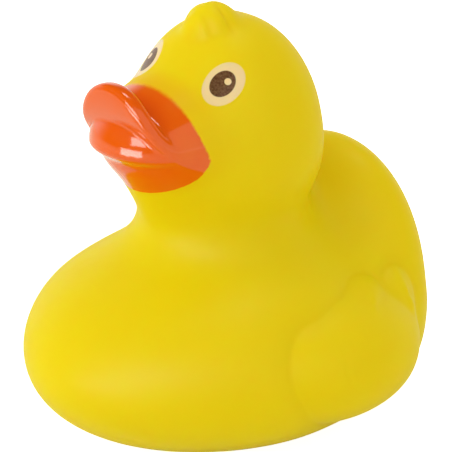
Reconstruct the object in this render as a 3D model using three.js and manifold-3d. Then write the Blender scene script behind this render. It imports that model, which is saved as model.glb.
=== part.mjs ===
// A bath duck of soft vinyl, moulded hollow in one piece: trunk, upturned tail, head, bill, tuft and wings.
// Millimetres, +Z up. The duck looks along -Y, its left side is +X, and it stands on z = 0.

import * as THREE from 'three';
import { MarchingCubes } from 'three/addons/objects/MarchingCubes.js';
import { mergeVertices } from 'three/addons/utils/BufferGeometryUtils.js';
import Module from 'manifold-3d';

const wasm = await Module();
wasm.setup();

// Trunk: an egg on its side, wider towards the tail, cut flat underneath
const TRUNK_LENGTH = 69.2;
const TRUNK_WIDTH = 66.6;
const TRUNK_HEIGHT = 35.1;
const TRUNK_TAPER = 0.196;
const TRUNK_FORWARD = 3.75;
const BASE_CUT = 1.75;

// Tail: a tall egg that stands up out of the rear of the trunk
const TAIL_LENGTH = 20.4;
const TAIL_WIDTH = 38.4;
const TAIL_HEIGHT = 40.4;
const TAIL_LEAN = 1.8;
const TAIL_BACK = 27.2;
const TAIL_UP = 9;
const TAIL_BLEND = 22;

// Head: a full egg, narrower at the top, that stands clear of the trunk
const HEAD_WIDTH = 32.3;
const HEAD_DEPTH = 31.5;
const HEAD_HEIGHT = 35.3;
const HEAD_TAPER = 0.18;
const HEAD_FULLNESS = 2.3;
const HEAD_BACK = 0.95;
const HEAD_CLEAR = 4.5;

// Neck: a round that the trunk and the head run into
const NECK_WIDTH = 27.2;
const NECK_LENGTH = 27;
const NECK_HEIGHT = 23.8;
const NECK_FORWARD = 1.4;
const NECK_BLEND = 12;

// Throat: a long egg from under the bill to the chest
const THROAT_LENGTH = 20.5;
const THROAT_WIDTH = 14;
const THROAT_HEIGHT = 20.8;
const THROAT_LEAN = 5.2;
const THROAT_FORWARD = 9.5;
const THROAT_DOWN = 5.3;
const THROAT_BLEND = 11.4;

// Bill: two lips with thick rims, bent upwards, on a cone that flares into the face
const UPPER_LIP = {
  forward: 14.59,
  up: -0.24,
  length: 17.38,
  width: 21.3,
  thickness: 3.4,
  bend: 10.67,
  droop: 1.81,
  thin: 0.3,
  rimFullness: 2.5,
};
const LOWER_LIP = {
  forward: 14.85,
  up: -1.95,
  length: 12.41,
  width: 20.6,
  thickness: 5.2,
  bend: 50,
  droop: -1.2,
  thin: 0.3,
  rimFullness: 2.5,
};
const LIP_FULLNESS = 2.3;
const LIP_BLEND = 2.5;
const MOUTH_CREASE = 1;
const CONE_WIDTH = 23;
const CONE_DEPTH = 22;
const CONE_HEIGHT = 17.3;
const CONE_FORWARD = 14.5;
const CONE_UP = 0.0;
const BILL_BLEND = 7;

// Tuft: a small mound on the crown, with grooves that run across it
const TUFT_WIDTH = 10.3;
const TUFT_LENGTH = 12.2;
const TUFT_HEIGHT = 13.3;
const TUFT_FORWARD = 3.55;
const TUFT_SINK = 3.7;
const TUFT_BLEND = 3.2;
const TUFT_GROOVES = [
  { back: -0.7, depth: 0.4, width: 0.9 },
  { back: 2.8, depth: 0.6, width: 0.7 },
];

// Wings: raised pads on the trunk's sides, made of overlapping leaves: a long one along the side,
// a shoulder in front, and two feather tips behind
const WING_RELIEF = 1.5;
const WING_EDGE = 6;
const WING_CREASE = 0.8;
const WING_LEAVES = [
  { back: 8.7, up: 1.1, length: 40, width: 20, lean: 5 },
  { back: -2.8, up: 2, length: 17, width: 14, lean: 20 },
  { back: 12.2, up: 7.5, length: 13, width: 10, lean: 35 },
  { back: 22.5, up: 6.7, length: 13.6, width: 10.8, lean: 30 },
];
const LEAF_BLEND = 3;

// Wall of the hollow moulding, and the air hole through its base
const WALL = 2.2;
const AIR_HOLE_DIAMETER = 3;
const AIR_HOLE_SIDES = 24;

// Colour and finish of the vinyl
const VINYL_YELLOW = 0xe9d32a;
const VINYL_ROUGHNESS = 0.45;

// Grids that the skins are drawn on: lines along each axis, and how many times closer they lie
// within reach of the bill's middle. Round the form there is room, and the outermost lines aren't drawn on
const OUTER_GRID = { lines: 41, closer: 2.9 };
const INNER_GRID = { lines: 20, closer: 1 };
const BILL_REACH = 12.5;
const GRID_ROOM = 2;
const UNDRAWN_LINES = 1;
const MOST_TRIANGLES = 40000;

// Smoothing of the skins: passes over the vertices, how far each one moves to its neighbours' middle,
// steps back onto the form, the step that its slope is read over, and the least slope that counts
const RELAX_PASSES = 8;
const RELAX_SHARE = 0.7;
const SETTLE_STEPS = 3;
const SLOPE_STEP = 0.01;
const LEAST_SLOPE = 0.5;

// How far a cutting solid runs past what it cuts
const CUT_ROOM = 1;

const trunkMiddle = TRUNK_HEIGHT / 2 - BASE_CUT;
const trunkTop = TRUNK_HEIGHT - BASE_CUT;
const headMiddle = trunkTop + HEAD_CLEAR + HEAD_HEIGHT / 2;
const headTop = headMiddle + HEAD_HEIGHT / 2;
const billMiddle = new THREE.Vector3(0, HEAD_BACK - UPPER_LIP.forward - UPPER_LIP.length / 3, headMiddle);

// A form is a function of a point: about its distance outside the surface, and below zero inside it

// Ellipse or ellipsoid: offsets from its middle, and its full sizes. Above 2 the fullness makes it squarer
function roundDistance(offsets, sizes, fullness = 2) {
  let reached = 0;
  for (let axis = 0; axis < sizes.length; axis++) {
    reached += Math.abs(2 * offsets[axis] / sizes[axis]) ** fullness;
  }
  const reach = Math.max(reached ** (1 / fullness), Number.EPSILON);
  let slopeSquared = 0;
  for (let axis = 0; axis < sizes.length; axis++) {
    const share = Math.abs(2 * offsets[axis] / sizes[axis]) / reach;
    slopeSquared += (2 * share ** (fullness - 1) / sizes[axis]) ** 2;
  }
  return (reach - 1) / Math.max(Math.sqrt(slopeSquared), Number.EPSILON);
}

// Offsets in the side view, turned so that the first one runs along a lean of so many degrees above level
function leaning(back, up, degrees) {
  const angle = THREE.MathUtils.degToRad(degrees);
  return [
    back * Math.cos(angle) + up * Math.sin(angle),
    up * Math.cos(angle) - back * Math.sin(angle),
  ];
}

// Two forms joined with a fillet
function joined(a, b, blend) {
  const share = Math.max(1 - Math.abs(a - b) / blend, 0);
  return Math.min(a, b) - blend * share ** 3 / 6;
}

// What two forms have in common, with its edge rounded
function common(a, b, rounding) {
  return -joined(-a, -b, rounding);
}

function trunk(x, y, z) {
  const back = y + TRUNK_FORWARD;
  const wider = 1 + TRUNK_TAPER * 2 * back / TRUNK_LENGTH;
  return roundDistance([x / wider, back, z - trunkMiddle], [TRUNK_WIDTH, TRUNK_LENGTH, TRUNK_HEIGHT]);
}

function tail(x, y, z) {
  const [along, across] = leaning(y - TAIL_BACK, z - trunkMiddle - TAIL_UP, -TAIL_LEAN);
  return roundDistance([x, along, across], [TAIL_WIDTH, TAIL_LENGTH, TAIL_HEIGHT]);
}

function head(x, y, z) {
  const back = y - HEAD_BACK;
  const up = z - headMiddle;
  const narrower = 1 - HEAD_TAPER * 2 * up / HEAD_HEIGHT;
  const offsets = [x / narrower, back / narrower, up];
  return roundDistance(offsets, [HEAD_WIDTH, HEAD_DEPTH, HEAD_HEIGHT], HEAD_FULLNESS);
}

function neck(x, y, z) {
  const offsets = [x, y - HEAD_BACK + NECK_FORWARD, z - trunkTop];
  return roundDistance(offsets, [NECK_WIDTH, NECK_LENGTH, NECK_HEIGHT]);
}

function throat(x, y, z) {
  const back = y - HEAD_BACK + THROAT_FORWARD;
  const [along, across] = leaning(back, z - headMiddle + THROAT_DOWN, THROAT_LEAN);
  return roundDistance([x, along, across], [THROAT_WIDTH, THROAT_LENGTH, THROAT_HEIGHT]);
}

// A lip is a plate with a rounded outline and a thick rim, rolled upwards about an axis across the bill
function lip(x, y, z, shape) {
  const side = Math.min(2 * Math.abs(x) / shape.width, 1);
  const forward = HEAD_BACK - shape.forward - y;
  const up = z - headMiddle - shape.up + shape.droop * side ** 2;
  const rolled = forward > 0;
  const along = rolled ? shape.bend * Math.atan2(forward, shape.bend - up) : forward;
  const above = rolled ? shape.bend - Math.hypot(forward, shape.bend - up) : up;
  const rim = shape.thickness / 2;
  const plateWidth = shape.width - 2 * rim * (1 - shape.thin);
  const plateLength = 2 * (shape.length - rim);
  const beyond = Math.max(roundDistance([x, along], [plateWidth, plateLength], LIP_FULLNESS), 0);
  const tilt = Math.hypot(1, 4 * shape.droop * side / shape.width);
  const fullness = shape.rimFullness;
  const offPlate = (beyond ** fullness + Math.abs(above / tilt) ** fullness) ** (1 / fullness);
  return offPlate - rim * (1 - shape.thin * side ** 2);
}

function bill(x, y, z) {
  const coneOffsets = [x, y - HEAD_BACK + CONE_FORWARD, z - headMiddle - CONE_UP];
  const cone = roundDistance(coneOffsets, [CONE_WIDTH, CONE_DEPTH, CONE_HEIGHT]);
  const lips = joined(lip(x, y, z, UPPER_LIP), lip(x, y, z, LOWER_LIP), MOUTH_CREASE);
  return joined(lips, cone, LIP_BLEND);
}

function grooved(form, back, groove) {
  return form + groove.depth * Math.exp(-(((back - groove.back) / groove.width) ** 2));
}

function tuft(x, y, z) {
  const back = y - HEAD_BACK + TUFT_FORWARD;
  const offsets = [x, back, z - headTop + TUFT_SINK];
  const mound = roundDistance(offsets, [TUFT_WIDTH, TUFT_LENGTH, TUFT_HEIGHT]);
  return TUFT_GROOVES.reduce((form, groove) => grooved(form, back, groove), mound);
}

// The wing's outline in the side view
function wingOutline(y, z) {
  const leaves = WING_LEAVES.map((leaf) => {
    const offsets = leaning(y - leaf.back, z - trunkMiddle - leaf.up, leaf.lean);
    return roundDistance(offsets, [leaf.length, leaf.width]);
  });
  return leaves.reduce((a, b) => joined(a, b, LEAF_BLEND));
}

function plainTrunk(x, y, z) {
  return joined(trunk(x, y, z), tail(x, y, z), TAIL_BLEND);
}

// Trunk and tail with a pad raised inside the wing's outline on both sides
function wingedTrunk(x, y, z) {
  const plain = plainTrunk(x, y, z);
  const pad = common(plain - WING_RELIEF, wingOutline(y, z), WING_EDGE);
  return joined(plain, pad, WING_CREASE);
}

// A trunk with the neck and the head on it
function headed(body, x, y, z) {
  return joined(joined(body, neck(x, y, z), NECK_BLEND), head(x, y, z), NECK_BLEND);
}

function duck(x, y, z) {
  const tufted = joined(headed(wingedTrunk(x, y, z), x, y, z), tuft(x, y, z), TUFT_BLEND);
  return joined(joined(tufted, throat(x, y, z), THROAT_BLEND), bill(x, y, z), BILL_BLEND);
}

// The hollow keeps a wall's thickness from the trunk, tail, neck and head. The rest is thicker
function hollow(x, y, z) {
  return headed(plainTrunk(x, y, z), x, y, z) + WALL;
}

// The box that a grid fills: the duck's own box, and the room that the closer lines take up
function gridBox(grid) {
  const side = TRUNK_WIDTH / 2 + WING_RELIEF;
  const end = Math.max(TRUNK_FORWARD + TRUNK_LENGTH / 2, TAIL_BACK + TAIL_LENGTH / 2);
  const top = headTop - TUFT_SINK + TUFT_HEIGHT / 2;
  const box = new THREE.Box3(new THREE.Vector3(-side, -end, -BASE_CUT), new THREE.Vector3(side, end, top));
  return box.expandByScalar(GRID_ROOM + BILL_REACH * (grid.closer - 1));
}

// Moves a place on an even grid to where it lies in the grid that is drawn in round the bill
function drawnIn(place, grid) {
  const away = place.distanceTo(billMiddle);
  const nearer = Math.max(away / grid.closer, away - BILL_REACH * (grid.closer - 1));
  return place.sub(billMiddle).setLength(nearer).add(billMiddle);
}

// The form's skin as marching cubes draw it on the grid, one vertex where vertices meet
function roughSkin(form, grid) {
  const lines = grid.lines;
  const box = gridBox(grid);
  const size = box.getSize(new THREE.Vector3());
  const stepsAcross = lines - 1 - 2 * UNDRAWN_LINES;
  const placeAt = (line) => {
    const share = line.subScalar(UNDRAWN_LINES).divideScalar(stepsAcross);
    return drawnIn(share.multiply(size).add(box.min), grid);
  };
  const cubes = new MarchingCubes(lines, undefined, false, false, MOST_TRIANGLES);
  cubes.isolation = 0;
  for (let k = 0; k < lines; k++) {
    for (let j = 0; j < lines; j++) {
      for (let i = 0; i < lines; i++) {
        const place = placeAt(new THREE.Vector3(i, j, k));
        cubes.field[i + lines * (j + lines * k)] = -form(place.x, place.y, place.z);
      }
    }
  }
  cubes.update();
  const points = [];
  for (let n = 0; n < cubes.count; n++) {
    const corner = new THREE.Vector3().fromArray(cubes.positionArray, 3 * n);
    points.push(placeAt(corner.addScalar(1).multiplyScalar(lines / 2)));
  }
  return mergeVertices(new THREE.BufferGeometry().setFromPoints(points));
}

// The form's slope at a point, which leads straight out of the surface
function slopeAt({ x, y, z }, form) {
  const step = SLOPE_STEP / 2;
  return new THREE.Vector3(
    form(x + step, y, z) - form(x - step, y, z),
    form(x, y + step, z) - form(x, y - step, z),
    form(x, y, z + step) - form(x, y, z - step),
  ).divideScalar(SLOPE_STEP);
}

// Moves a point along the form's slope until it lies on the surface
function settle(point, form) {
  for (let n = 0; n < SETTLE_STEPS; n++) {
    const slope = slopeAt(point, form);
    const steepness = Math.max(slope.lengthSq(), LEAST_SLOPE ** 2);
    point.addScaledVector(slope, -form(point.x, point.y, point.z) / steepness);
  }
}

// Moves a point along the surface, part of the way to the middle of its neighbours
function relax(point, middle, form) {
  const outwards = slopeAt(point, form).normalize();
  const shift = middle.sub(point).projectOnPlane(outwards);
  point.addScaledVector(shift, RELAX_SHARE);
  settle(point, form);
}

// A form's skin with even triangles
function skinOf(form, grid) {
  const skin = roughSkin(form, grid);
  const points = [];
  for (let n = 0; n < skin.attributes.position.count; n++) {
    points.push(new THREE.Vector3().fromBufferAttribute(skin.attributes.position, n));
  }
  const triangles = [];
  for (let n = 0; n < skin.index.count; n += 3) {
    triangles.push([0, 1, 2].map((corner) => skin.index.getX(n + corner)));
  }
  points.forEach((point) => settle(point, form));
  for (let pass = 0; pass < RELAX_PASSES; pass++) {
    const sums = points.map(() => new THREE.Vector3());
    const counts = points.map(() => 0);
    for (const triangle of triangles) {
      for (const corner of triangle) {
        for (const other of triangle) {
          sums[corner].add(points[other]);
          counts[corner] += 1;
        }
      }
    }
    points.forEach((point, n) => relax(point, sums[n].divideScalar(counts[n]), form));
  }
  skin.setFromPoints(points);
  return skin;
}

function solidOf(geometry) {
  const bare = geometry.clone();
  bare.deleteAttribute('normal');
  bare.deleteAttribute('uv');
  const merged = mergeVertices(bare);
  return new wasm.Manifold(new wasm.Mesh({
    numProp: 3,
    vertProperties: new Float32Array(merged.attributes.position.array),
    triVerts: new Uint32Array(merged.index.array),
  }));
}

function geometryOf(solid) {
  const mesh = solid.getMesh();
  const geometry = new THREE.BufferGeometry();
  geometry.setAttribute('position', new THREE.BufferAttribute(mesh.vertProperties, 3));
  geometry.setIndex(new THREE.BufferAttribute(mesh.triVerts, 1));
  geometry.computeVertexNormals();
  return geometry;
}

// Everything of the duck below a height: a block twice as long and wide as the trunk
function below(height) {
  const depth = TRUNK_HEIGHT;
  const block = new THREE.BoxGeometry(2 * TRUNK_WIDTH, 2 * TRUNK_LENGTH, depth);
  return solidOf(block.translate(0, 0, height - depth / 2));
}

function airHole() {
  const radius = AIR_HOLE_DIAMETER / 2;
  const length = WALL + 2 * CUT_ROOM;
  const hole = new THREE.CylinderGeometry(radius, radius, length, AIR_HOLE_SIDES);
  return solidOf(hole.rotateX(Math.PI / 2).translate(0, 0, WALL / 2));
}

function moulding() {
  const outside = solidOf(skinOf(duck, OUTER_GRID)).subtract(below(0));
  const inside = solidOf(skinOf(hollow, INNER_GRID)).subtract(below(WALL));
  return geometryOf(outside.subtract(inside).subtract(airHole()));
}

function vinyl() {
  return new THREE.MeshStandardMaterial({
    color: VINYL_YELLOW,
    roughness: VINYL_ROUGHNESS,
    metalness: 0,
  });
}

const duckMesh = new THREE.Mesh(moulding(), vinyl());
duckMesh.name = 'duck';

const part = new THREE.Group();
part.add(duckMesh);

export default part;
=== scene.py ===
import math

import bmesh
import bpy
import numpy as np
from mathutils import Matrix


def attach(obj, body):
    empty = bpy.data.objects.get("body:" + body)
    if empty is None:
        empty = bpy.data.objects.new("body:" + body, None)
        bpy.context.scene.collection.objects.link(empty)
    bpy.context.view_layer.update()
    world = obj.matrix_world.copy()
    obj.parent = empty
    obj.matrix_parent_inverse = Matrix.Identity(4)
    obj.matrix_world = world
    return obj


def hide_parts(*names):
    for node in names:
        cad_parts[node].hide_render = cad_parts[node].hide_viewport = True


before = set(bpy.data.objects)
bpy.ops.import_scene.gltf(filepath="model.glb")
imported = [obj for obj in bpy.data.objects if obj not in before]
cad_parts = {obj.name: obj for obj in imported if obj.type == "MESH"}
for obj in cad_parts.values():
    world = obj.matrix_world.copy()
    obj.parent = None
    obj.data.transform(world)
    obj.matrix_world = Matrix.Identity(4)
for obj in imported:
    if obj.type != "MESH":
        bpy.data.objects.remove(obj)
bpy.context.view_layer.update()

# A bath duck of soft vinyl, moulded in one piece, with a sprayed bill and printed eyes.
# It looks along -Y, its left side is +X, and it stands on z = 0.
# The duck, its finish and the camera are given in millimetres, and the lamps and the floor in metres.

import openvdb
from mathutils import Matrix, Vector

MM = 0.001
TINY = 1e-9
WHITE = (1, 1, 1)

# Trunk: an egg on its side, wider towards the tail, cut flat underneath
TRUNK_LENGTH = 69.2
TRUNK_WIDTH = 66.6
TRUNK_HEIGHT = 35.1
TRUNK_TAPER = 0.196
TRUNK_FORWARD = 3.75
BASE_CUT = 1.75
BASE_ROUNDING = 1.0

# Tail: a tall egg that stands up out of the rear of the trunk
TAIL_LENGTH = 20.4
TAIL_WIDTH = 38.4
TAIL_HEIGHT = 40.4
TAIL_LEAN = 1.8
TAIL_BACK = 27.2
TAIL_UP = 9
TAIL_BLEND = 22

# Rump: the low rear of trunk and tail swells out, most at this place
RUMP = dict(swell=3, back=27, up=0, length=47.5, height=32.7)

# Head: a full egg, narrower at the top, that stands clear of the trunk
HEAD_WIDTH = 32.3
HEAD_DEPTH = 31.5
HEAD_HEIGHT = 35.3
HEAD_TAPER = 0.18
HEAD_FULLNESS = 2.3
HEAD_BACK = 0.95
HEAD_CLEAR = 4.5

# Neck: a round that the trunk and the head run into
NECK_WIDTH = 25.6
NECK_LENGTH = 25.2
NECK_HEIGHT = 23.8
NECK_FORWARD = 1.4
NECK_BLEND = 12
NECK_FOOT_BLEND = 16.5

# Throat: a long egg from under the bill to the chest
THROAT_LENGTH = 20.5
THROAT_WIDTH = 14
THROAT_HEIGHT = 20.8
THROAT_LEAN = 5.2
THROAT_FORWARD = 9.5
THROAT_DOWN = 5.3
THROAT_BLEND = 11.4

# Bill: two lips with thick rims, on a cone that flares into the face
UPPER_LIP = dict(forward=14.59, up=-0.24, length=17.38, width=21.3, thickness=3.4, bend=10.67,
                 droop=1.81, thin=0.45, rim_fullness=3, over=1, under=1)
LOWER_LIP = dict(forward=14.85, up=-0.7, length=12.41, width=22, thickness=6.6, bend=200,
                 droop=0.2, thin=0.45, rim_fullness=2, over=1.58, under=0.55)
LIP_FULLNESS = 2.3
LIP_BLEND = 2.5
MOUTH_CREASE = 0.5
CONE_WIDTH = 23
CONE_DEPTH = 22
CONE_HEIGHT = 17.3
CONE_FORWARD = 14.5
BILL_BLEND = 7

# Tuft: a small mound on the crown, with grooves across it (back, depth, width) that fade at its crest
TUFT_WIDTH = 9.6
TUFT_LENGTH = 10.4
TUFT_HEIGHT = 10
TUFT_FORWARD = 3.1
TUFT_SINK = 2.25
TUFT_BLEND = 2.4
TUFT_CREST = 2.2
TUFT_GROOVES = [(-3.2, 0.4, 0.75), (0.1, 0.5, 0.65)]

# Wings: pillows on the trunk's sides, each inside a soft groove
WING_GROOVE = 1.5
WING_ROUNDING = 3.6
WING_EASING = 4
WING_CREASE = 0.25
WING_GIRTH = 25

# Leaves that join into a wing's outline: back, round the trunk, length, width and lean
WING_LEAVES = [
    (7.7, 0.35, 35.2, 35, 1),
    (-3, 3.4, 17, 23.7, 4.3),
    (11.1, 14.2, 16.6, 10.4, 46.4),
    (22.1, 12.3, 8.7, 16.5, -1.2),
]
LEAF_BLEND = 3

# Air hole in the base
AIR_HOLE_DIAMETER = 3
AIR_HOLE_DEPTH = 7
AIR_HOLE_EDGE = 0.4

# Skin: the lines of the grid that it is drawn on, far from the face and round it, and how it is smoothed
GRID_STEP = 1.3
FACE_STEP = 0.8
GRID_ROOM = 4
FACE_ROOM = 1
FACE_BELOW = 10
FACE_END_GAP = 0.1
FAR_OUTSIDE = 10.0
RELAX_PASSES = 4
SETTLE_STEPS = 3
SLOPE_STEP = 0.01
LEAST_STEEPNESS = 0.05

# Sprayed bill: its edge is an egg in the front view, taller towards the front of the bill
SPRAY_WIDTH = 24.4
SPRAY_DOWN = 1.5
SPRAY_ABOVE = 10.15
SPRAY_BELOW = 7.35
SPRAY_FRONT = 17.5
SPRAY_RISE = 1.5
SPRAY_BACK = 8
SPRAY_TOP = (4, 9)
SPRAY_JAG_SIZE = 0.7
SPRAY_PATCH_SIZE = 6.0

# Shares of that egg: its soft edge at the sides and at the top, its jags, its band of overspray and painted
# orange bounce light on the vinyl, and where painted yellow bounce light on the paint begins
SPRAY_SOFT = 0.006
SPRAY_FEATHER = 0.022
SPRAY_JAG = 0.012
OVERSPRAY_AND_BOUNCE_BAND = 0.22
PAINT_BOUNCE_FROM = 0.72

# Shares of painted yellow bounce light on the paint near the edge, which comes in patches, and of overspray
# with painted orange bounce light on the vinyl outside it, which is weaker at the sides
PAINT_BOUNCE_SHARE = 0.22
PAINT_BOUNCE_PATCHES = (0.3, 1.0)
OVERSPRAY_AND_BOUNCE_SHARE = 0.3
OVERSPRAY_AND_BOUNCE_AT_SIDES = 0.25

# Printed eyes: the left one's middle, and the way its ovals lie
EYE_MIDDLE = (9.57, -8.41, 65.14)
EYE_ALONG = (0.136, 0.777, 0.615)
EYE_ACROSS = (0.776, 0.303, -0.554)
PRINT_DEPTH = 10

# Each oval's shift along and across, its full length and width, and how soft its edge is as a share of it
EYE_RING = dict(shift=(0, 0), size=(8.5, 6.2), softness=0.035)
PUPIL = dict(shift=(-0.1, -0.15), size=(5.05, 3.9), softness=0.04)
EYE_DOT = dict(shift=(0.77, 0.27), size=(1.2, 1.2), softness=0.12)

# The right eye lies off the left one's mirror image, inwards, forwards and up
RIGHT_EYE_MOVE = (-2.2, -1.35, 0.6)

# Colours as they are seen in even white light
YELLOW = (0.81, 0.68, 0.003)
DEEP_YELLOW = (0.80, 0.65, 0.001)
ORANGE = (0.85, 0.12, 0.001)
# Paler orange: painted yellow bounce light on the paint near its edge, and overspray with painted orange
# bounce light on the vinyl round the bill
OVERSPRAY_AND_BOUNCE_ORANGE = (0.80, 0.24, 0.001)
CREAM = (0.86, 0.72, 0.41)
BROWN = (0.09, 0.038, 0.012)
PALE_BROWN = (0.22, 0.115, 0.05)

# Spreads: the values of noise between which a pattern runs
PATCH_SPREAD = (0.35, 0.65)
SATIN_SPREAD = (0.3, 0.7)
BROWN_GRAIN_SPREAD = (0.3, 0.75)

# Surfaces: satin vinyl that lets light in, with glossy paint and print
MOTTLE_SIZE = 14.0
MOTTLE_SHARE = 0.5
SATIN_SIZE = 3.0
SATIN_ROUGHNESS = (0.40, 0.48)
BROWN_GRAIN_SIZE = 0.35
BROWN_GRAIN_DETAIL = 3.0
PAINT_ROUGHNESS = 0.12
PRINT_ROUGHNESS = 0.35
PRINT_GLOSS = 0.5
GLOSS_ROUGHNESS = 0.11
GLOSS_IOR = 1.45
SATIN_SHINE = 0.08
VINYL_GLOW = 0.5
VINYL_GLOW_DEPTH = 12
VINYL_GLOW_SPREAD = (1, 0.4, 0.03)
PEBBLE_SIZE = 2.5
PEBBLE_SHARE = 0.6
PORE_SIZE = 0.3
BUMP_STRENGTH = 0.06
BUMP_HEIGHT = 0.15

# Lamps: the key lights the duck, and the windows are only seen in its gloss
LAMP_AIM = (0, 0, 0.035)
KEY = dict(turn=-22, rise=32, away=0.9, width=0.6, height=0.6, glow=2.0, colour=(0.9, 1, 1))
WINDOWS = {
    "high window": dict(turn=25, rise=28, away=0.85, width=0.62, height=0.37, glow=9),
    "low window": dict(turn=6, rise=0, away=0.22, width=0.15, height=0.062, glow=10),
    "side panel": dict(turn=90, rise=26, away=0.7, width=0.8, height=0.8, glow=0.8),
    "roof window": dict(turn=180, rise=72, away=0.8, width=0.2, height=0.2, glow=9),
}

# Room: the fill light, and what gloss shows: a dim room with a white backdrop low behind the duck
FILL_LIGHT = 0.86
FILL_COLOUR = (1, 0.895, 0.72)
ROOM_SHINE = 0.03
BACKDROP_SIDES = (0.1, 0.5)
BACKDROP_TOP = (0.3, 0.6)

# Floor: matt white, with a glow of its own where it is looked at
FLOOR_REACH = 3
FLOOR_WHITE = 0.92
FLOOR_ROUGHNESS = 0.9
FLOOR_GLOSS = 0.1
FLOOR_GLOW = 0.9
FLOOR_SHINE = 0.1

# Camera, from the photo's outline
CAMERA_TURN = 46.283
CAMERA_RISE = 21.659
CAMERA_AWAY = 487.7
CAMERA_AIM = (-8.92, 9.81, 29.43)
CAMERA_ANGLE = 9.536

trunk_middle = TRUNK_HEIGHT / 2 - BASE_CUT
trunk_top = TRUNK_HEIGHT - BASE_CUT
head_middle = trunk_top + HEAD_CLEAR + HEAD_HEIGHT / 2
head_top = head_middle + HEAD_HEIGHT / 2


# Forms: functions of points, about the distance outside the surface and below zero inside it

def round_distance(offsets, sizes, fullness=2):
    shares = [np.abs(2 * offset / size) for offset, size in zip(offsets, sizes)]
    reach = np.maximum(sum(share ** fullness for share in shares) ** (1 / fullness), TINY)
    slopes = [2 * (share / reach) ** (fullness - 1) / size for share, size in zip(shares, sizes)]
    return (reach - 1) / np.maximum(np.sqrt(sum(slope ** 2 for slope in slopes)), TINY)


def leaning(back, up, degrees):
    angle = math.radians(degrees)
    along = back * math.cos(angle) + up * math.sin(angle)
    across = up * math.cos(angle) - back * math.sin(angle)
    return along, across


def joined(a, b, blend):
    share = np.maximum(1 - np.abs(a - b) / blend, 0)
    return np.minimum(a, b) - blend * share ** 3 / 6


def common(a, b, rounding):
    return -joined(-a, -b, rounding)


def trunk(x, y, z):
    back = y + TRUNK_FORWARD
    wider = 1 + TRUNK_TAPER * 2 * back / TRUNK_LENGTH
    return round_distance((x / wider, back, z - trunk_middle), (TRUNK_WIDTH, TRUNK_LENGTH, TRUNK_HEIGHT))


def tail(x, y, z):
    along, across = leaning(y - TAIL_BACK, z - trunk_middle - TAIL_UP, -TAIL_LEAN)
    return round_distance((x, along, across), (TAIL_WIDTH, TAIL_LENGTH, TAIL_HEIGHT))


def rump_swell(y, z):
    off_rump = np.hypot((y - RUMP["back"]) / RUMP["length"], (z - RUMP["up"]) / RUMP["height"])
    return RUMP["swell"] * np.exp(-(2 * off_rump) ** 2)


def head(x, y, z):
    up = z - head_middle
    narrower = 1 - HEAD_TAPER * 2 * up / HEAD_HEIGHT
    offsets = (x / narrower, (y - HEAD_BACK) / narrower, up)
    return round_distance(offsets, (HEAD_WIDTH, HEAD_DEPTH, HEAD_HEIGHT), HEAD_FULLNESS)


def neck(x, y, z):
    offsets = (x, y - HEAD_BACK + NECK_FORWARD, z - trunk_top)
    return round_distance(offsets, (NECK_WIDTH, NECK_LENGTH, NECK_HEIGHT))


def throat(x, y, z):
    back = y - HEAD_BACK + THROAT_FORWARD
    along, across = leaning(back, z - head_middle + THROAT_DOWN, THROAT_LEAN)
    return round_distance((x, along, across), (THROAT_WIDTH, THROAT_LENGTH, THROAT_HEIGHT))


# A lip rolls upwards with the radius bend, and its sides hang by droop and lose a share, thin, of thickness.
# Its thickness is stretched by over above its middle, and by under below it.
def lip(x, y, z, shape):
    side = np.minimum(2 * np.abs(x) / shape["width"], 1)
    forward = HEAD_BACK - shape["forward"] - y
    up = z - head_middle - shape["up"] + shape["droop"] * side ** 2
    bend = shape["bend"]
    rolled = forward > 0
    along = np.where(rolled, bend * np.arctan2(np.maximum(forward, 0), bend - up), forward)
    above = np.where(rolled, bend - np.hypot(forward, bend - up), up)
    rim = shape["thickness"] / 2
    plate = (shape["width"] - 2 * rim * (1 - shape["thin"]), 2 * (shape["length"] - rim))
    beyond = np.maximum(round_distance((x, along), plate, LIP_FULLNESS), 0)
    tilt = np.hypot(1, 4 * shape["droop"] * side / shape["width"])
    above = above / tilt / np.where(above > 0, shape["over"], shape["under"])
    fullness = shape["rim_fullness"]
    off_plate = (beyond ** fullness + np.abs(above) ** fullness) ** (1 / fullness)
    return off_plate - rim * (1 - shape["thin"] * side ** 2)


def bill(x, y, z):
    cone_offsets = (x, y - HEAD_BACK + CONE_FORWARD, z - head_middle)
    cone = round_distance(cone_offsets, (CONE_WIDTH, CONE_DEPTH, CONE_HEIGHT))
    lips = joined(lip(x, y, z, UPPER_LIP), lip(x, y, z, LOWER_LIP), MOUTH_CREASE)
    return joined(lips, cone, LIP_BLEND)


def tuft(x, y, z):
    back = y - HEAD_BACK + TUFT_FORWARD
    form = round_distance((x, back, z - head_top + TUFT_SINK), (TUFT_WIDTH, TUFT_LENGTH, TUFT_HEIGHT))
    off_crest = 1 - np.exp(-(x / TUFT_CREST) ** 2)
    for groove_back, depth, width in TUFT_GROOVES:
        form = form + depth * off_crest * np.exp(-((back - groove_back) / width) ** 2)
    return form


def girth_place(x, z):
    return WING_GIRTH * np.arctan2((z - trunk_middle) / TRUNK_HEIGHT, np.abs(x) / TRUNK_WIDTH)


def wing_outline(x, y, z):
    round_trunk = girth_place(x, z)
    outline = None
    for back, girth, length, width, lean in WING_LEAVES:
        leaf = round_distance(leaning(y - back, round_trunk - girth, lean), (length, width))
        outline = leaf if outline is None else joined(outline, leaf, LEAF_BLEND)
    return outline


def wing_groove(x, y, z):
    outline = wing_outline(x, y, z)
    off_edge = np.hypot(outline, WING_CREASE)
    return WING_GROOVE * np.exp(-off_edge / np.where(outline < 0, WING_ROUNDING, WING_EASING))


def winged_trunk(x, y, z):
    plain = joined(trunk(x, y, z), tail(x, y, z), TAIL_BLEND)
    return plain + wing_groove(x, y, z) - rump_swell(y, z)


def air_hole(x, y, z):
    return np.maximum(np.hypot(x, y) - AIR_HOLE_DIAMETER / 2, z - AIR_HOLE_DEPTH)


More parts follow.
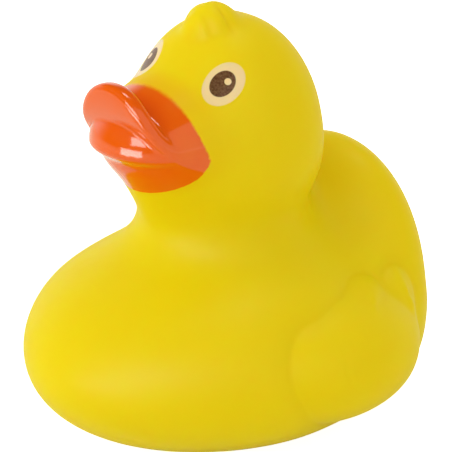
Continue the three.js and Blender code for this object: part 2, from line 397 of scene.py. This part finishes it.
def duck(points):
    x, y, z = points[..., 0], points[..., 1], points[..., 2]
    necked = joined(winged_trunk(x, y, z), neck(x, y, z), NECK_FOOT_BLEND)
    headed = joined(necked, head(x, y, z), NECK_BLEND)
    tufted = joined(headed, tuft(x, y, z), TUFT_BLEND)
    whole = joined(joined(tufted, throat(x, y, z), THROAT_BLEND), bill(x, y, z), BILL_BLEND)
    standing = common(whole, -z, BASE_ROUNDING)
    return common(standing, -air_hole(x, y, z), AIR_HOLE_EDGE)


# Skin: drawn where the duck's form is zero, smoothed, and split once more

def grid_lines(low, high, close_from, close_to):
    before = np.arange(close_from, low - GRID_STEP, -GRID_STEP)[::-1]
    close = np.arange(close_from + FACE_STEP, close_to, FACE_STEP)
    after = np.arange(close[-1] + FACE_STEP, high + GRID_STEP, GRID_STEP)
    return np.concatenate([before, close, after])


def duck_grid():
    side = TRUNK_WIDTH / 2 + GRID_ROOM
    end = TRUNK_FORWARD + TRUNK_LENGTH / 2 + GRID_ROOM
    top = head_top + GRID_ROOM
    face_side = UPPER_LIP["width"] / 2 + FACE_ROOM
    face_front = HEAD_BACK - UPPER_LIP["forward"] - UPPER_LIP["length"]
    face_back = HEAD_BACK - TUFT_FORWARD + TUFT_LENGTH / 2
    face_bottom = head_middle - FACE_BELOW
    return [
        grid_lines(-side, side, -face_side, face_side),
        grid_lines(-end, end, face_front, face_back),
        grid_lines(-GRID_ROOM, top, face_bottom, top - FACE_END_GAP),
    ]


def slope_of(form, points):
    step = SLOPE_STEP / 2
    slope = np.empty_like(points)
    for axis in range(3):
        shift = np.zeros(3)
        shift[axis] = step
        slope[:, axis] = (form(points + shift) - form(points - shift)) / SLOPE_STEP
    return slope


def settle(points, form):
    for _ in range(SETTLE_STEPS):
        slope = slope_of(form, points)
        steepness = np.maximum((slope ** 2).sum(1), LEAST_STEEPNESS)
        points = points - slope * (form(points) / steepness)[:, None]
    return points


def relaxed(points, quads, form):
    for _ in range(RELAX_PASSES):
        sums = np.zeros_like(points)
        counts = np.zeros(len(points))
        for corner in range(4):
            here = quads[:, corner]
            ahead = quads[:, (corner + 1) % 4]
            np.add.at(sums, here, points[ahead])
            np.add.at(counts, here, 1)
            np.add.at(sums, ahead, points[here])
            np.add.at(counts, ahead, 1)
        points = settle((points + sums / counts[:, None]) / 2, form)
    return points


def rough_skin(form, grid):
    field = np.empty([len(lines) for lines in grid], dtype=np.float32)
    for n, x in enumerate(grid[0]):
        y, z = np.meshgrid(grid[1], grid[2], indexing="ij")
        field[n] = form(np.stack([np.full_like(y, x), y, z], -1))
    volume = openvdb.FloatGrid(background=FAR_OUTSIDE)
    volume.copyFromArray(field)
    places, quads = volume.convertToQuads(0.0)
    axes = [np.interp(places[:, n], np.arange(len(lines)), lines) for n, lines in enumerate(grid)]
    return np.stack(axes, -1), quads


def make_duck():
    points, quads = rough_skin(duck, duck_grid())
    points = relaxed(settle(points, duck), quads, duck)
    mesh = bpy.data.meshes.new("duck_skin")
    mesh.from_pydata((points * MM).tolist(), [], quads.tolist())
    rough = bpy.data.objects.new("duck_skin", mesh)
    bpy.context.scene.collection.objects.link(rough)
    finer = rough.modifiers.new("finer", "SUBSURF")
    finer.levels = finer.render_levels = 1
    evaluated = rough.evaluated_get(bpy.context.evaluated_depsgraph_get())
    skin = bpy.data.meshes.new_from_object(evaluated)
    bpy.data.objects.remove(rough)
    fine = np.empty(len(skin.vertices) * 3)
    skin.vertices.foreach_get("co", fine)
    fine = settle(fine.reshape(-1, 3) / MM, duck)
    skin.vertices.foreach_set("co", (fine * MM).ravel())
    skin.shade_smooth()
    piece = bpy.data.objects.new("duck_skin", skin)
    bpy.context.scene.collection.objects.link(piece)
    faces_out(skin)
    return piece


def faces_out(mesh):
    shape = bmesh.new()
    shape.from_mesh(mesh)
    bmesh.ops.recalc_face_normals(shape, faces=shape.faces)
    shape.to_mesh(mesh)
    shape.free()


# Node helpers: a value is one or more numbers or another node's socket

def feed(tree, socket, value):
    if isinstance(value, bpy.types.NodeSocket):
        tree.links.new(value, socket)
    else:
        socket.default_value = value


def reckon(tree, operation, *values):
    node = tree.nodes.new("ShaderNodeMath")
    node.operation = operation
    for socket, value in zip(node.inputs, values):
        feed(tree, socket, value)
    return node.outputs[0]


def reckon_vector(tree, operation, *values):
    node = tree.nodes.new("ShaderNodeVectorMath")
    node.operation = operation
    for socket, value in zip(node.inputs, values):
        feed(tree, socket, value)
    return node.outputs["Value" if operation in ("DOT_PRODUCT", "LENGTH") else "Vector"]


def scaled(tree, vector, share):
    node = tree.nodes.new("ShaderNodeVectorMath")
    node.operation = "SCALE"
    feed(tree, node.inputs[0], vector)
    feed(tree, node.inputs["Scale"], share)
    return node.outputs["Vector"]


def gathered(tree, *values):
    node = tree.nodes.new("ShaderNodeCombineXYZ")
    for socket, value in zip(node.inputs, values):
        feed(tree, socket, value)
    return node.outputs[0]


def ranged(tree, value, low, high, at_low, at_high, smooth=False):
    node = tree.nodes.new("ShaderNodeMapRange")
    node.interpolation_type = "SMOOTHSTEP" if smooth else "LINEAR"
    given = {"Value": value, "From Min": low, "From Max": high, "To Min": at_low, "To Max": at_high}
    for name, each in given.items():
        feed(tree, node.inputs[name], each)
    return node.outputs[0]


def blended(tree, share, first, second):
    node = tree.nodes.new("ShaderNodeMix")
    node.data_type = "RGBA"
    feed(tree, node.inputs[0], share)
    for socket, colour in ((node.inputs[6], first), (node.inputs[7], second)):
        feed(tree, socket, colour if isinstance(colour, bpy.types.NodeSocket) else (*colour, 1))
    return node.outputs[2]


def grain(tree, place, size, detail=2.0):
    node = tree.nodes.new("ShaderNodeTexNoise")
    feed(tree, node.inputs["Vector"], place)
    node.inputs["Scale"].default_value = 1 / size
    node.inputs["Detail"].default_value = detail
    return node.outputs[0]


# Finish

# One of the eye's printed ovals: 1 inside it and 0 outside
def printed_oval():
    group = bpy.data.node_groups.new("printed oval", "ShaderNodeTree")
    for name in ("Place", "Middle", "Along", "Across"):
        group.interface.new_socket(name, in_out="INPUT", socket_type="NodeSocketVector")
    for name in ("Length", "Width", "Softness"):
        group.interface.new_socket(name, in_out="INPUT", socket_type="NodeSocketFloat")
    group.interface.new_socket("Mask", in_out="OUTPUT", socket_type="NodeSocketFloat")
    given = group.nodes.new("NodeGroupInput").outputs
    offset = reckon_vector(group, "SUBTRACT", given["Place"], given["Middle"])
    along = reckon_vector(group, "DOT_PRODUCT", offset, given["Along"])
    across = reckon_vector(group, "DOT_PRODUCT", offset, given["Across"])
    outwards = reckon_vector(group, "CROSS_PRODUCT", given["Along"], given["Across"])
    depth = reckon_vector(group, "DOT_PRODUCT", offset, outwards)
    shares = gathered(group,
                      reckon(group, "DIVIDE", along, given["Length"]),
                      reckon(group, "DIVIDE", across, given["Width"]),
                      reckon(group, "DIVIDE", depth, PRINT_DEPTH))
    reach = reckon(group, "MULTIPLY", reckon_vector(group, "LENGTH", shares), 2.0)
    inner = reckon(group, "SUBTRACT", 1.0, given["Softness"])
    outer = reckon(group, "ADD", 1.0, given["Softness"])
    mask = ranged(group, reach, inner, outer, 1.0, 0.0, smooth=True)
    group.links.new(mask, group.nodes.new("NodeGroupOutput").inputs["Mask"])
    return group


def placed_oval(tree, group, place, shift, size, softness):
    node = tree.nodes.new("ShaderNodeGroup")
    node.node_tree = group
    middle = Vector(EYE_MIDDLE) + Vector(EYE_ALONG) * shift[0] + Vector(EYE_ACROSS) * shift[1]
    given = dict(Place=place, Middle=middle, Along=EYE_ALONG, Across=EYE_ACROSS,
                 Length=size[0], Width=size[1], Softness=softness)
    for name, value in given.items():
        feed(tree, node.inputs[name], value)
    return node.outputs["Mask"]


# Masks of the printed eyes: the ring, the pupil and the dot in it
def printed_eyes(tree, x, y, z):
    mirrored = gathered(tree, reckon(tree, "ABSOLUTE", x), y, z)
    on_right = reckon(tree, "LESS_THAN", x, 0.0)
    place = reckon_vector(tree, "SUBTRACT", mirrored, scaled(tree, RIGHT_EYE_MOVE, on_right))
    oval = printed_oval()
    return [placed_oval(tree, oval, place, **given) for given in (EYE_RING, PUPIL, EYE_DOT)]


# How far out of the sprayed egg a place on the bill lies: 1 on the egg's edge
def spray_reach(tree, x, y, z):
    up = reckon(tree, "SUBTRACT", z, head_middle - SPRAY_DOWN)
    ahead = reckon(tree, "MAXIMUM", reckon(tree, "SUBTRACT", -SPRAY_FRONT, y), 0.0)
    above = reckon(tree, "MULTIPLY_ADD", ahead, SPRAY_RISE, SPRAY_ABOVE)
    in_upper_half = reckon(tree, "GREATER_THAN", up, 0.0)
    height = ranged(tree, in_upper_half, 0.0, 1.0, SPRAY_BELOW, above)
    share_across = reckon(tree, "DIVIDE", x, SPRAY_WIDTH / 2)
    share_up = reckon(tree, "DIVIDE", up, height)
    return reckon_vector(tree, "LENGTH", gathered(tree, share_across, share_up, 0.0))


# Masks of the sprayed bill: the paint, the painted yellow bounce light on it near its edge, and the
# overspray with painted orange bounce light on the vinyl round it
def sprayed_bill(tree, place, x, y, z):
    reach = spray_reach(tree, x, y, z)
    in_front = reckon(tree, "LESS_THAN", y, -SPRAY_BACK)
    at_top = ranged(tree, z, head_middle + SPRAY_TOP[0], head_middle + SPRAY_TOP[1], 0.0, 1.0, smooth=True)
    soft = ranged(tree, at_top, 0.0, 1.0, SPRAY_SOFT, SPRAY_FEATHER)
    inner = reckon(tree, "SUBTRACT", 1.0, soft)
    outer = reckon(tree, "ADD", 1.0, soft)
    jag = reckon(tree, "MULTIPLY_ADD", grain(tree, place, SPRAY_JAG_SIZE), SPRAY_JAG, -SPRAY_JAG / 2)
    paint = ranged(tree, reckon(tree, "ADD", reach, jag), inner, outer, 1.0, 0.0, smooth=True)
    paint = reckon(tree, "MULTIPLY", paint, in_front)
    patches = ranged(tree, grain(tree, place, SPRAY_PATCH_SIZE), *PATCH_SPREAD, *PAINT_BOUNCE_PATCHES)
    # Painted yellow bounce light: towards its edge the paint turns paler orange, in patches
    thin = ranged(tree, reach, PAINT_BOUNCE_FROM, 1.0, 0.0, PAINT_BOUNCE_SHARE, smooth=True)
    thin = reckon(tree, "MULTIPLY", thin, patches)
    # Overspray with painted orange bounce light: the vinyl just outside the edge turns orange, fully at the
    # top and weaker at the sides
    overspray_and_bounce = ranged(tree, reach, 1.0, 1 + OVERSPRAY_AND_BOUNCE_BAND, OVERSPRAY_AND_BOUNCE_SHARE, 0.0, smooth=True)
    overspray_and_bounce = reckon(tree, "MULTIPLY", overspray_and_bounce, in_front)
    overspray_and_bounce = reckon(tree, "MULTIPLY", overspray_and_bounce, ranged(tree, at_top, 0.0, 1.0, OVERSPRAY_AND_BOUNCE_AT_SIDES, 1.0))
    return paint, thin, overspray_and_bounce


def painted_vinyl(tree, place, paint, thin, overspray_and_bounce):
    mottle = ranged(tree, grain(tree, place, MOTTLE_SIZE), *PATCH_SPREAD, 0.0, MOTTLE_SHARE)
    vinyl = blended(tree, mottle, YELLOW, DEEP_YELLOW)
    # The vinyl round the bill takes overspray and painted orange bounce light, and the paint takes painted
    # yellow bounce light near its edge
    vinyl_with_overspray_and_bounce = blended(tree, overspray_and_bounce, vinyl, OVERSPRAY_AND_BOUNCE_ORANGE)
    return blended(tree, paint, vinyl_with_overspray_and_bounce, blended(tree, thin, ORANGE, OVERSPRAY_AND_BOUNCE_ORANGE))


def with_eyes(tree, place, colour, ring, pupil, dot):
    brown_grain = grain(tree, place, BROWN_GRAIN_SIZE, BROWN_GRAIN_DETAIL)
    brown = blended(tree, ranged(tree, brown_grain, *BROWN_GRAIN_SPREAD, 0.0, 1.0), BROWN, PALE_BROWN)
    ringed = blended(tree, ring, colour, CREAM)
    return blended(tree, dot, blended(tree, pupil, ringed, brown), CREAM)


def vinyl_bump(tree, place):
    pores = grain(tree, place, PORE_SIZE)
    height = reckon(tree, "MULTIPLY_ADD", grain(tree, place, PEBBLE_SIZE), PEBBLE_SHARE, pores)
    bump = tree.nodes.new("ShaderNodeBump")
    bump.inputs["Strength"].default_value = BUMP_STRENGTH
    bump.inputs["Distance"].default_value = BUMP_HEIGHT * MM
    tree.links.new(height, bump.inputs["Height"])
    return bump.outputs[0]


def duck_finish():
    made = bpy.data.materials.new("duck_finish")
    made.use_nodes = True
    tree = made.node_tree
    shader = tree.nodes["Principled BSDF"]
    where = tree.nodes.new("ShaderNodeTexCoord").outputs["Object"]
    place = reckon_vector(tree, "MULTIPLY", where, (1 / MM, 1 / MM, 1 / MM))
    apart = tree.nodes.new("ShaderNodeSeparateXYZ")
    tree.links.new(place, apart.inputs[0])
    # The second mask is painted yellow bounce light on the paint near its edge, the third is overspray with
    # painted orange bounce light on the vinyl round it
    paint, thin, overspray_and_bounce = sprayed_bill(tree, place, *apart.outputs)
    ring, pupil, dot = printed_eyes(tree, *apart.outputs)

    colour = painted_vinyl(tree, place, paint, thin, overspray_and_bounce)
    tree.links.new(with_eyes(tree, place, colour, ring, pupil, dot), shader.inputs["Base Color"])
    tree.links.new(vinyl_bump(tree, place), shader.inputs["Normal"])

    satin = ranged(tree, grain(tree, place, SATIN_SIZE), *SATIN_SPREAD, *SATIN_ROUGHNESS)
    rough = ranged(tree, paint, 0.0, 1.0, satin, PAINT_ROUGHNESS)
    tree.links.new(ranged(tree, ring, 0.0, 1.0, rough, PRINT_ROUGHNESS), shader.inputs["Roughness"])
    tree.links.new(reckon(tree, "MULTIPLY_ADD", ring, PRINT_GLOSS, paint), shader.inputs["Coat Weight"])
    shader.inputs["Coat Roughness"].default_value = GLOSS_ROUGHNESS
    shader.inputs["Coat IOR"].default_value = GLOSS_IOR
    shader.inputs["Specular IOR Level"].default_value = SATIN_SHINE
    tree.links.new(ranged(tree, paint, 0.0, 1.0, VINYL_GLOW, 0.0), shader.inputs["Subsurface Weight"])
    shader.inputs["Subsurface Radius"].default_value = VINYL_GLOW_SPREAD
    shader.inputs["Subsurface Scale"].default_value = VINYL_GLOW_DEPTH * MM
    return made


# Light and camera

def towards(turn, rise):
    turn = math.radians(turn)
    rise = math.radians(rise)
    return Vector((math.sin(turn) * math.cos(rise), -math.cos(turn) * math.cos(rise), math.sin(rise)))


def looking_from(place, back):
    return Matrix.Translation(place) @ back.to_track_quat("Z", "Y").to_matrix().to_4x4()


# A lamp's turn and rise are degrees round from the front and up, and its glow is how bright its face is
def softbox(name, turn, rise, away, width, height, glow, colour=WHITE, lights=False):
    lamp = bpy.data.lights.new(name, "AREA")
    lamp.color = colour
    lamp.shape = "RECTANGLE"
    lamp.size = width
    lamp.size_y = height
    lamp.energy = glow * width * height * math.pi
    box = bpy.data.objects.new(name, lamp)
    back = towards(turn, rise)
    box.matrix_world = looking_from(Vector(LAMP_AIM) + back * away, back)
    box.visible_camera = False
    box.visible_diffuse = lights
    box.visible_glossy = not lights
    bpy.context.scene.collection.objects.link(box)


# Masks of rays that look at the background, straight and in a reflection, and don't light the duck
def looked_at(tree):
    path = tree.nodes.new("ShaderNodeLightPath")
    straight = reckon(tree, "MAXIMUM", path.outputs["Is Camera Ray"], path.outputs["Is Transmission Ray"])
    return straight, path.outputs["Is Glossy Ray"]


def floor():
    mesh = bpy.data.meshes.new("floor")
    corners = [(-1, -1), (1, -1), (1, 1), (-1, 1)]
    mesh.from_pydata([(FLOOR_REACH * x, FLOOR_REACH * y, 0) for x, y in corners], [], [(0, 1, 2, 3)])
    piece = bpy.data.objects.new("floor", mesh)
    bpy.context.scene.collection.objects.link(piece)
    made = bpy.data.materials.new("white_floor")
    made.use_nodes = True
    tree = made.node_tree
    shader = tree.nodes["Principled BSDF"]
    shader.inputs["Base Color"].default_value = (FLOOR_WHITE, FLOOR_WHITE, FLOOR_WHITE, 1)
    shader.inputs["Roughness"].default_value = FLOOR_ROUGHNESS
    shader.inputs["Specular IOR Level"].default_value = FLOOR_GLOSS
    shader.inputs["Emission Color"].default_value = (*WHITE, 1)
    straight, glossy = looked_at(tree)
    glow = ranged(tree, glossy, 0.0, 1.0, 0.0, FLOOR_SHINE)
    tree.links.new(ranged(tree, straight, 0.0, 1.0, glow, FLOOR_GLOW), shader.inputs["Emission Strength"])
    mesh.materials.append(made)


def studio():
    world = bpy.data.worlds.new("studio")
    bpy.context.scene.world = world
    world.use_nodes = True
    tree = world.node_tree
    room = tree.nodes["Background"]
    straight, glossy = looked_at(tree)
    way = tree.nodes.new("ShaderNodeTexCoord").outputs["Generated"]
    behind = reckon_vector(tree, "DOT_PRODUCT", way, -towards(CAMERA_TURN, 0))
    rise = reckon_vector(tree, "DOT_PRODUCT", way, (0, 0, 1))
    within_sides = ranged(tree, behind, *BACKDROP_SIDES, 0.0, 1.0)
    under_top = ranged(tree, rise, *BACKDROP_TOP, 1.0, 0.0)
    on_backdrop = reckon(tree, "MULTIPLY", within_sides, under_top)
    shine = ranged(tree, on_backdrop, 0.0, 1.0, ROOM_SHINE, 1.0)
    strength = ranged(tree, glossy, 0.0, 1.0, FILL_LIGHT, shine)
    tree.links.new(ranged(tree, straight, 0.0, 1.0, strength, 1.0), room.inputs["Strength"])
    seen = reckon(tree, "MAXIMUM", straight, glossy)
    tree.links.new(blended(tree, seen, FILL_COLOUR, WHITE), room.inputs["Color"])
    softbox("key", **KEY, lights=True)
    for name, window in WINDOWS.items():
        softbox(name, **window)


def camera():
    data = bpy.data.cameras.new("camera")
    data.angle = math.radians(CAMERA_ANGLE)
    back = towards(CAMERA_TURN, CAMERA_RISE)
    piece = bpy.data.objects.new("camera", data)
    piece.matrix_world = looking_from(Vector(CAMERA_AIM) * MM + back * CAMERA_AWAY * MM, back)
    bpy.context.scene.collection.objects.link(piece)
    bpy.context.scene.camera = piece


bpy.context.scene.view_settings.view_transform = "Standard"
camera()
studio()
floor()
duck_piece = make_duck()
duck_piece.data.materials.append(duck_finish())
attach(duck_piece, "root")
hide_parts("duck")
